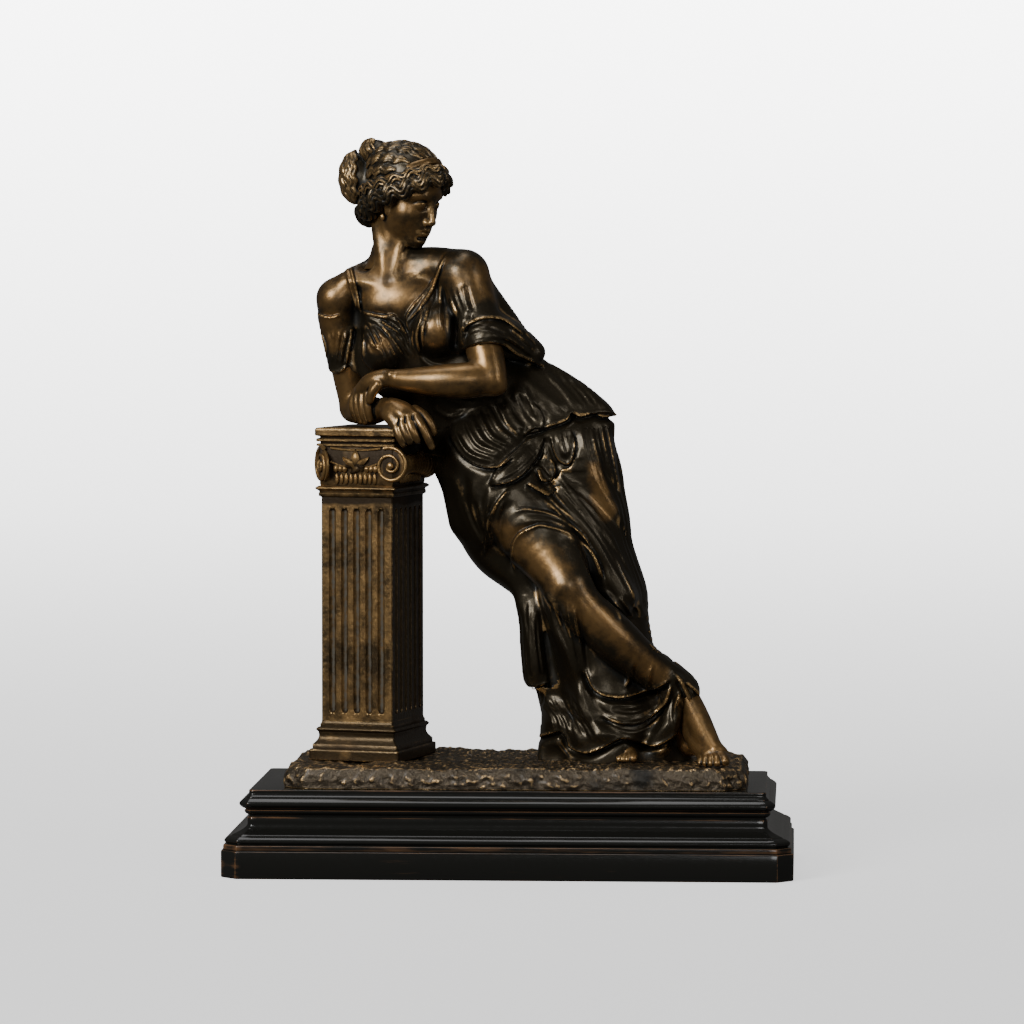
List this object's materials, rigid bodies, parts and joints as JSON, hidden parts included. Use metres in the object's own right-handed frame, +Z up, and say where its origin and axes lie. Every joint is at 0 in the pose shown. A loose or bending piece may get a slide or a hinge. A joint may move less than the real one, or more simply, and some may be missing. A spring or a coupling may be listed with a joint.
{
  "type": "bronze figure sculpture on a plinth",
  "caption": "Bronze lady in classical drapery leaning on a fluted Ionic pillar, on rocky ground and a long black moulded plinth.",
  "frame": {"origin": "middle of the plinth's underside", "axes": "+Z up, +X along the plinth to the right of someone facing the lady, +Y away from them"},
  "size_m": [0.395, 0.178, 0.5106],
  "materials": {
    "black_lacquer": "polished black with rubbed brown edges",
    "rock_bronze": "rough dark brown patina with rubbed bronze flecks",
    "pillar_bronze": "waxed brown patina, rubbed at the edges",
    "figure_bronze": "waxed dark brown patina, golden on the raised forms"
  },
  "bodies": {
    "root": {"plinth": "black_lacquer", "ground": "rock_bronze", "pillar": "pillar_bronze", "lady": "figure_bronze"}
  },
  "joints": []
}
